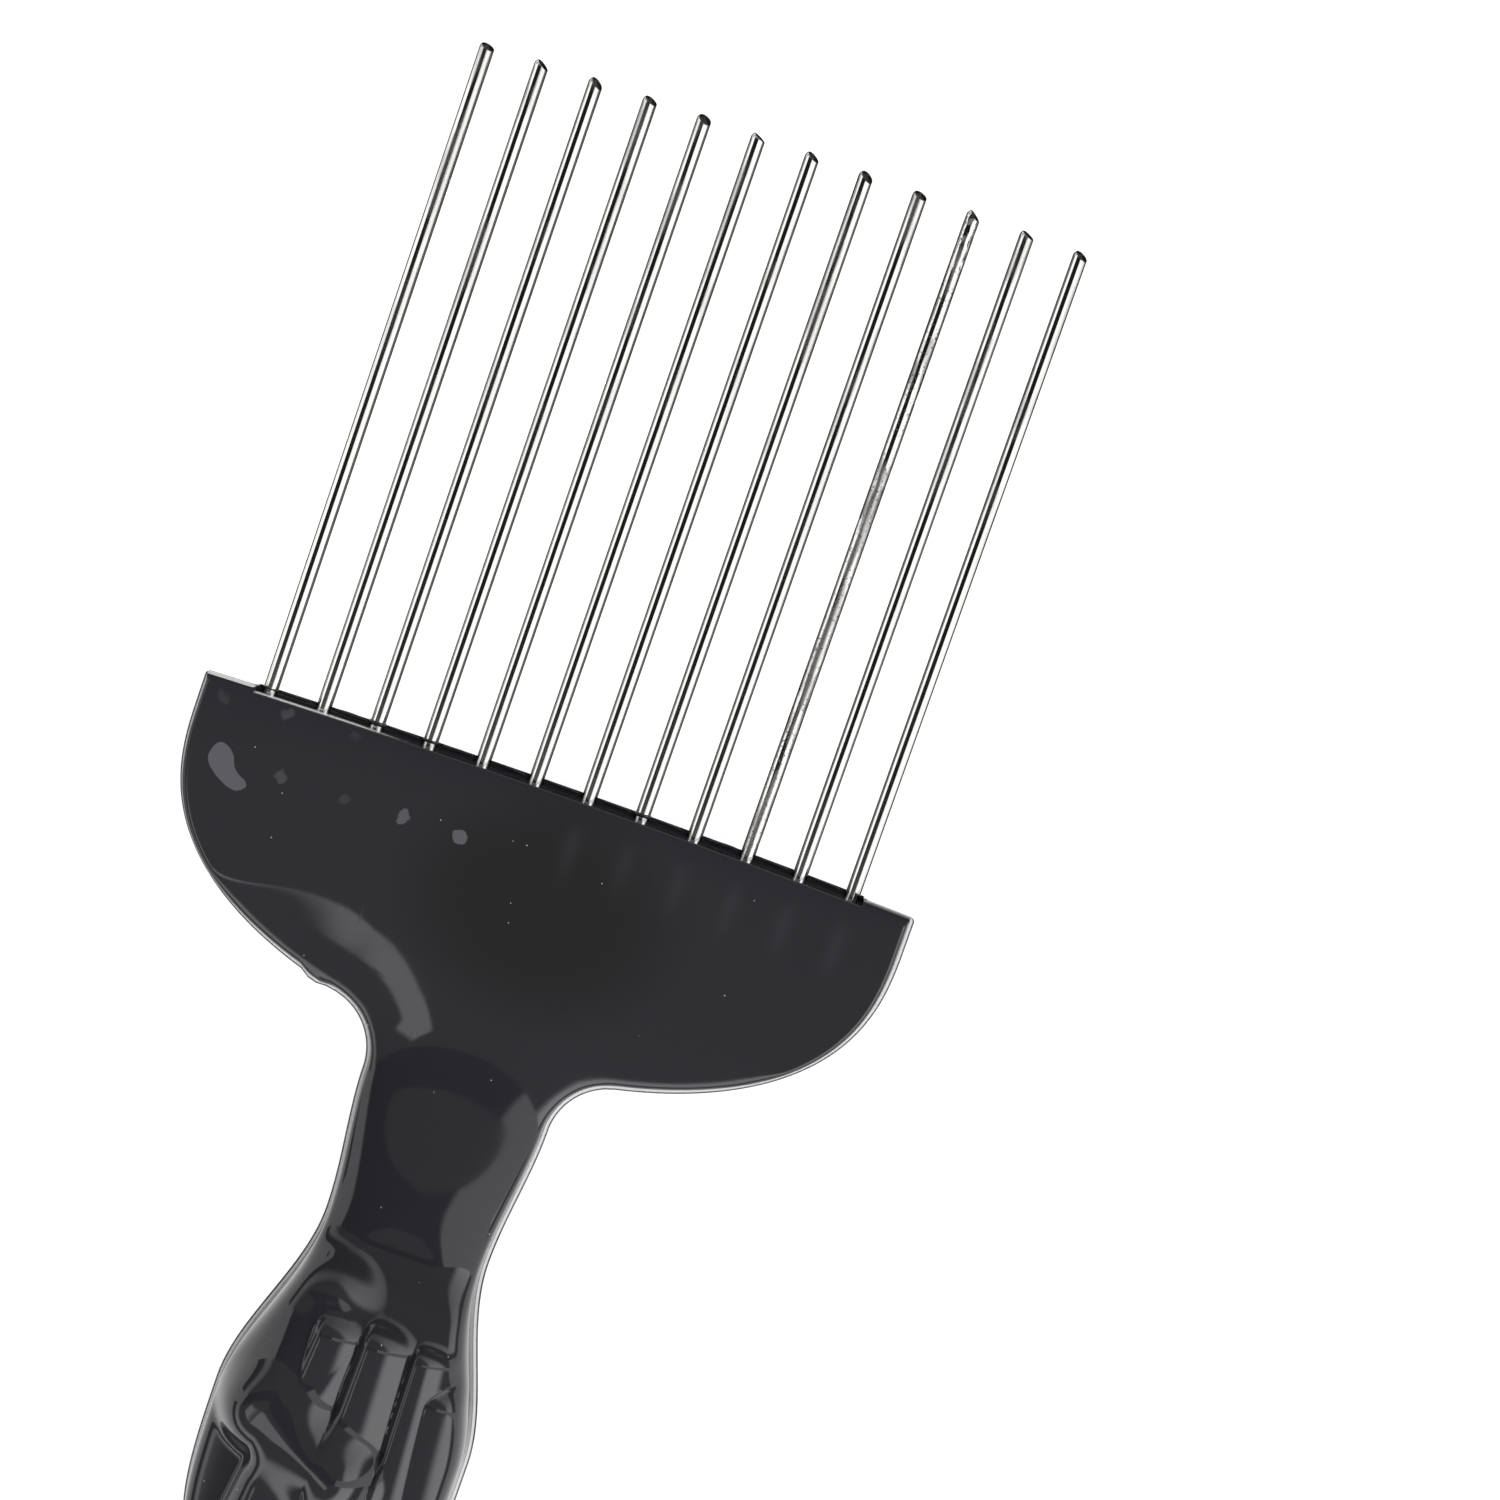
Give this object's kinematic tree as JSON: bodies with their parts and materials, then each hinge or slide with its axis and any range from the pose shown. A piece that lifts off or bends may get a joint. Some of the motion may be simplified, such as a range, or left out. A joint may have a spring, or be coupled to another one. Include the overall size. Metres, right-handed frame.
{
  "type": "afro pick",
  "caption": "Afro pick: long steel pins moulded into a black plastic half-moon head, with a clenched-fist handle.",
  "frame": {"origin": "centre of the comb's footprint, on the surface that its flat back lies on", "axes": "+Y along the pins, from the fist towards their tips; +X across the pin row, from the thumb side to the little finger; +Z out of the front, where the fingers are"},
  "size_m": [0.0804, 0.1686, 0.0176],
  "materials": {
    "black_plastic": "glossy moulded black plastic with fine handling scratches",
    "pin_steel": "polished steel wire, scuffed dull in patches"
  },
  "bodies": {
    "root": {"handle_body": "black_plastic", "pin_01": "pin_steel", "pin_02": "pin_steel", "pin_03": "pin_steel", "pin_04": "pin_steel", "pin_05": "pin_steel", "pin_06": "pin_steel", "pin_07": "pin_steel", "pin_08": "pin_steel", "pin_09": "pin_steel", "pin_10": "pin_steel", "pin_11": "pin_steel", "pin_12": "pin_steel"}
  },
  "joints": []
}
